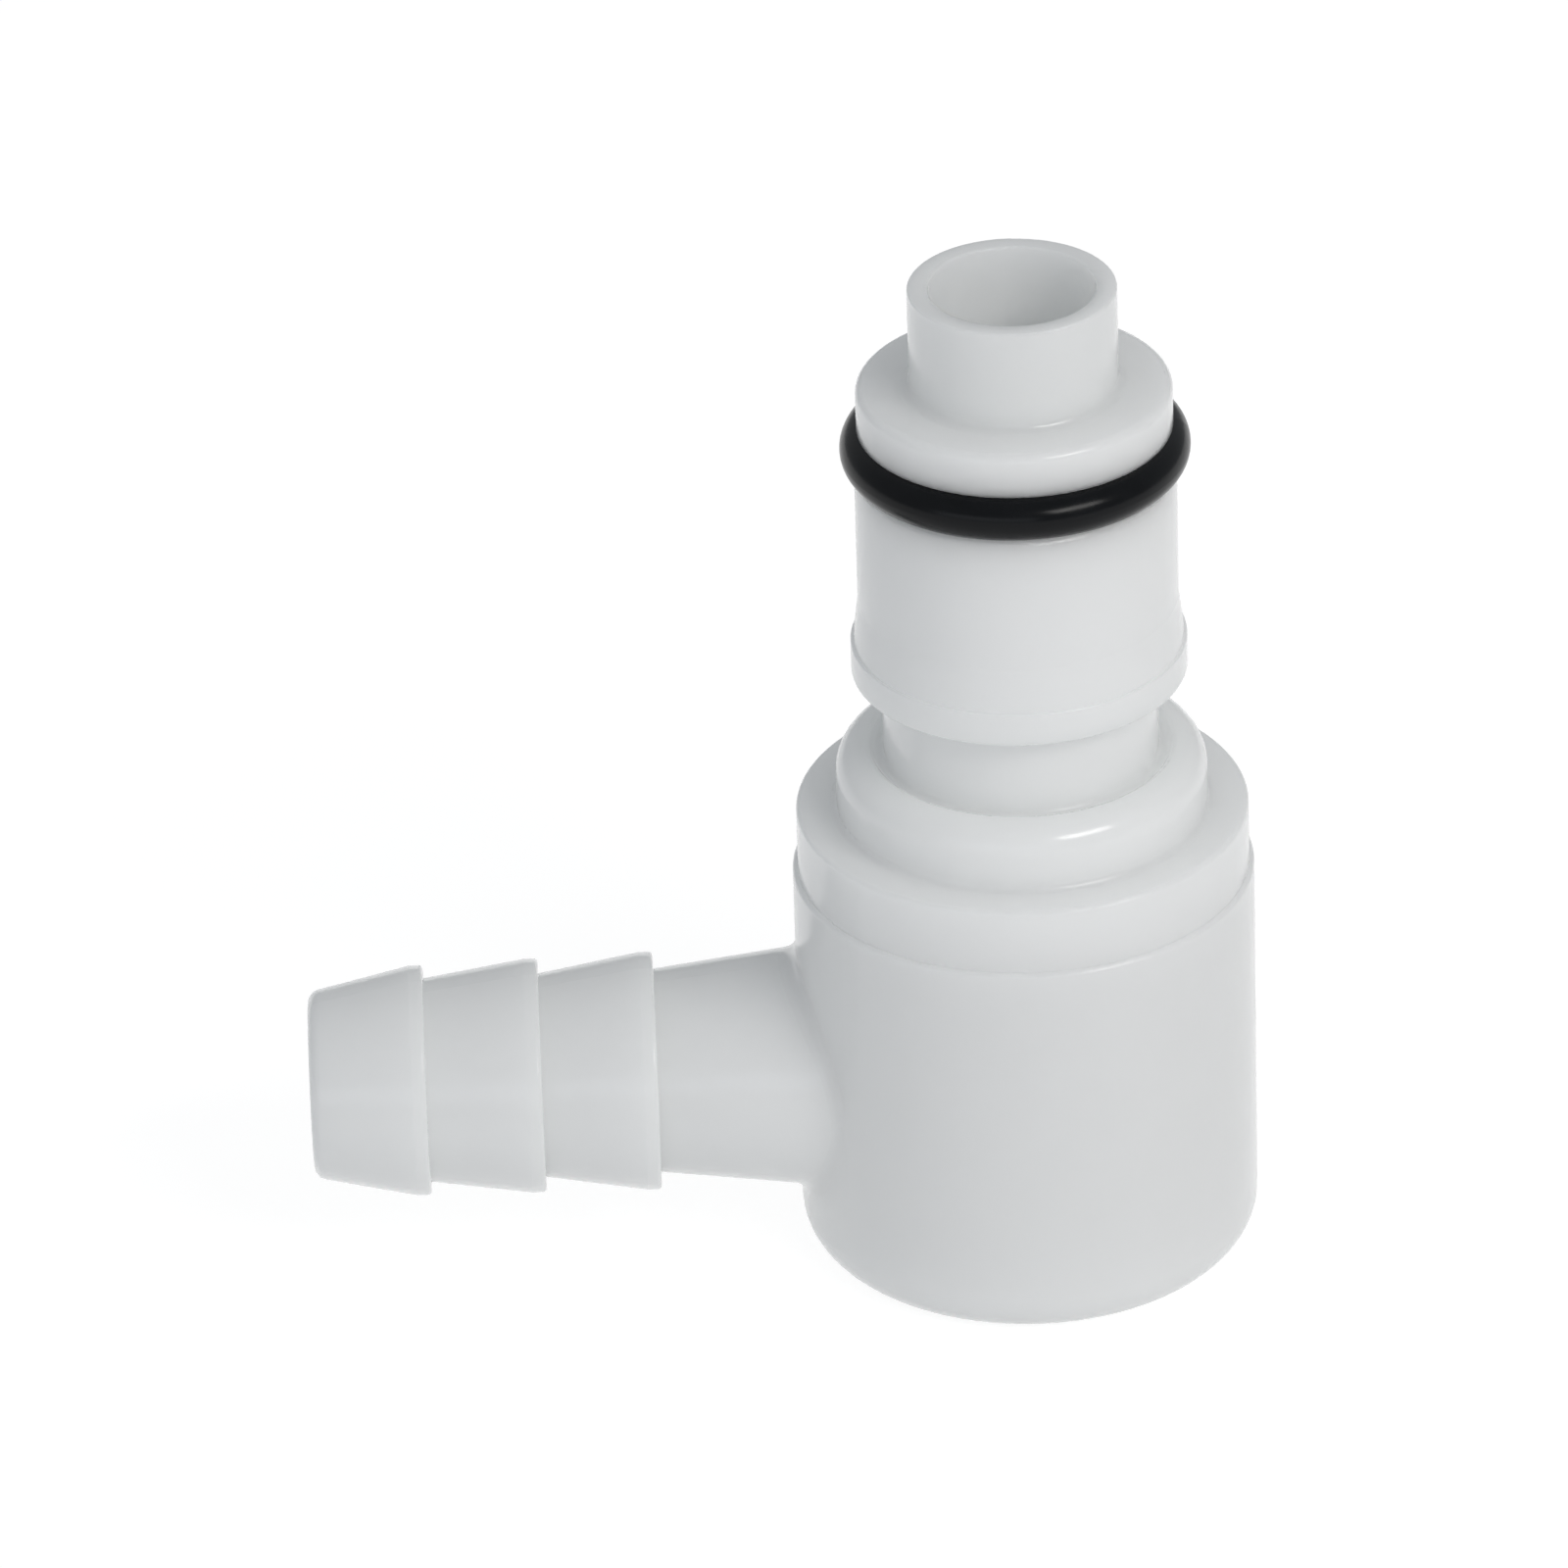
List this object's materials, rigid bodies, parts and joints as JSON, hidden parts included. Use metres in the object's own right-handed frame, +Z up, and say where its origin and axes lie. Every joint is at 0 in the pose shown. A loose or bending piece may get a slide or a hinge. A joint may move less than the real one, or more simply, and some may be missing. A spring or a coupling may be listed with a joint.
{
  "type": "right-angle hose barb insert of a quick connect coupling",
  "caption": "Right-angle valved insert of a plastic quick connect coupling, with a hose barb, a plug-in nose with a black seal ring and a spring-loaded poppet inside.",
  "frame": {"origin": "centre of the flat foot, on the axis of the body and plug", "axes": "+Z up along the plug's axis, out of the nose; -X along the hose barb's axis, out of its tip; the part is the same on both sides of the XZ plane"},
  "size_m": [0.0469, 0.0228, 0.0525],
  "materials": {
    "moulded_acetal": "natural white acetal, satin gloss, slightly translucent",
    "nitrile_rubber": "black nitrile rubber with a soft sheen",
    "stainless_wire": "drawn stainless spring wire"
  },
  "bodies": {
    "housing": {"elbow_body": "moulded_acetal", "nose_piece": "moulded_acetal", "nose_seal": "nitrile_rubber", "valve_spring": "stainless_wire"},
    "valve": {"poppet": "moulded_acetal", "valve_seal": "nitrile_rubber"}
  },
  "joints": [
    {"name": "poppet_slide", "type": "slide", "parent": "housing", "child": "valve", "axis": [0, 0, -1], "range_m": [0, 0.0045], "stiffness_N_per_m": 400, "springref_m": -0.006, "deforming": ["valve_spring"]}
  ]
}
